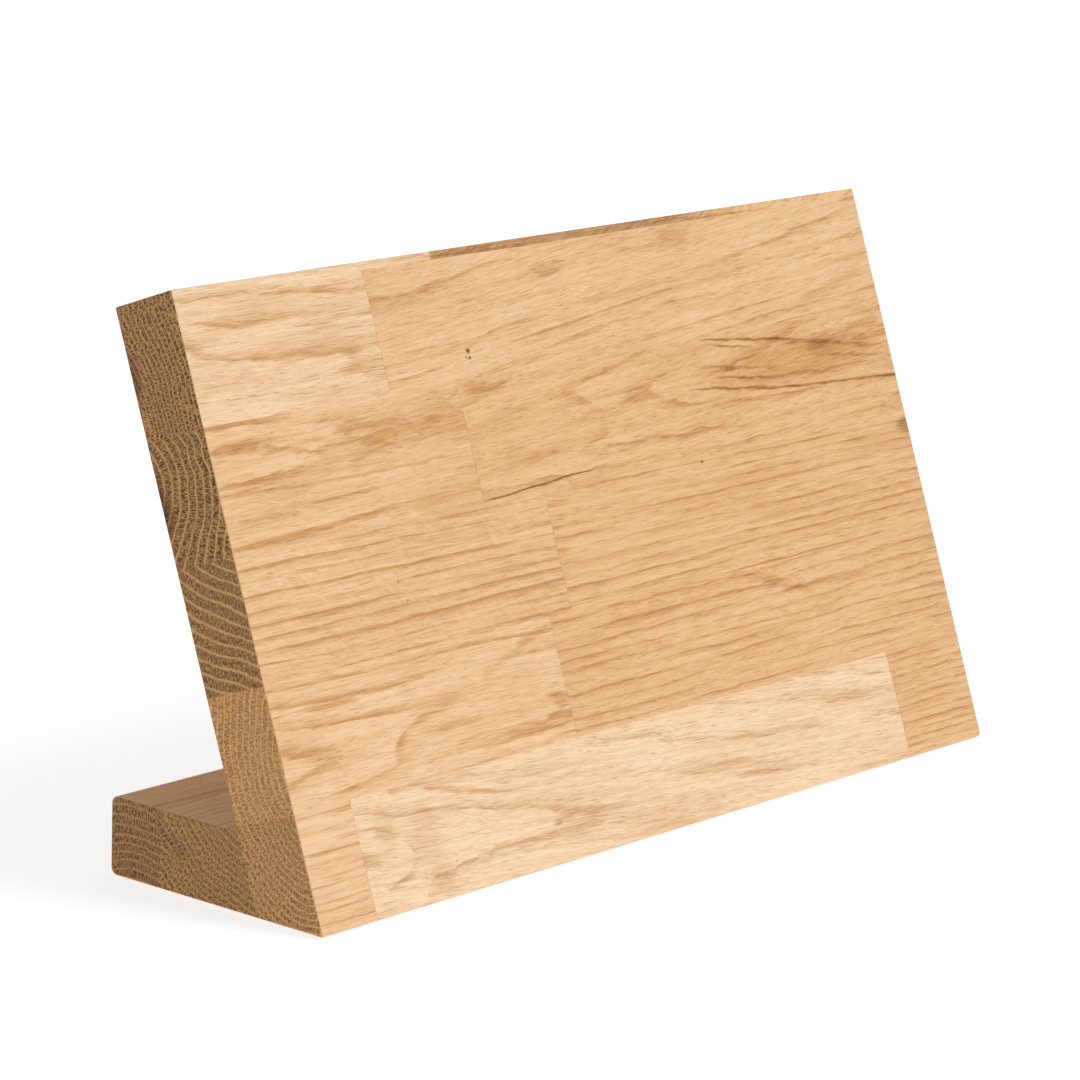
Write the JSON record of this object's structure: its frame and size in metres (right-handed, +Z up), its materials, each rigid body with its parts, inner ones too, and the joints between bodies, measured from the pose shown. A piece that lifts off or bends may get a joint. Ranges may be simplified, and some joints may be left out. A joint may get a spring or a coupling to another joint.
{
  "type": "knife magnetic rack",
  "caption": "Free-standing oak rack whose leaning board holds kitchen knives against its face with magnets hidden behind the wood.",
  "frame": {"origin": "on the worktop, midway along the rack and midway between its foremost and rearmost edges", "axes": "+X along the rack to the right end as the user sees it, +Y to the back, +Z up; the board faces -Y and leans back 20 degrees"},
  "size_m": [0.4, 0.108, 0.2216],
  "materials": {
    "oak_pale": "oiled, fine satin",
    "oak_tan": "oiled, fine satin",
    "oak_brown": "oiled, fine satin",
    "beech": "bare, fluted",
    "nickel_magnet": "bright nickel plate",
    "zinc_steel": "zinc plated",
    "rubber": "matt"
  },
  "bodies": {
    "root": {"board_stave_1_left": "oak_pale", "board_stave_1_right": "oak_pale", "board_stave_2_left": "oak_pale", "board_stave_2_right": "oak_pale", "board_stave_3_left": "oak_pale", "board_stave_3_right": "oak_tan", "board_stave_4_left": "oak_pale", "board_stave_4_right": "oak_tan", "board_stave_5_left": "oak_pale", "board_stave_5_middle": "oak_pale", "board_stave_5_right": "oak_tan", "foot_dowel_1": "beech", "foot_dowel_2": "beech", "foot_dowel_3": "beech", "foot_dowel_4": "beech", "foot_dowel_5": "beech", "foot_dowel_6": "beech", "foot_front_left": "oak_tan", "foot_front_right": "oak_tan", "foot_rear_left": "oak_pale", "foot_rear_right": "oak_pale", "groove_cover_lower": "oak_tan", "groove_cover_upper": "oak_pale", "magnet_lower_1": "nickel_magnet", "magnet_lower_2": "nickel_magnet", "magnet_lower_3": "nickel_magnet", "magnet_lower_4": "nickel_magnet", "magnet_lower_5": "nickel_magnet", "magnet_lower_6": "nickel_magnet", "magnet_lower_7": "nickel_magnet", "magnet_lower_8": "nickel_magnet", "magnet_lower_9": "nickel_magnet", "magnet_upper_1": "nickel_magnet", "magnet_upper_2": "nickel_magnet", "magnet_upper_3": "nickel_magnet", "magnet_upper_4": "nickel_magnet", "magnet_upper_5": "nickel_magnet", "magnet_upper_6": "nickel_magnet", "magnet_upper_7": "nickel_magnet", "magnet_upper_8": "nickel_magnet", "magnet_upper_9": "nickel_magnet", "pad_front_left": "rubber", "pad_front_right": "rubber", "pad_rear_left": "rubber", "pad_rear_right": "rubber", "steel_strip_lower": "zinc_steel", "steel_strip_upper": "zinc_steel", "top_strip_left": "oak_pale", "top_strip_right": "oak_brown"}
  },
  "joints": []
}
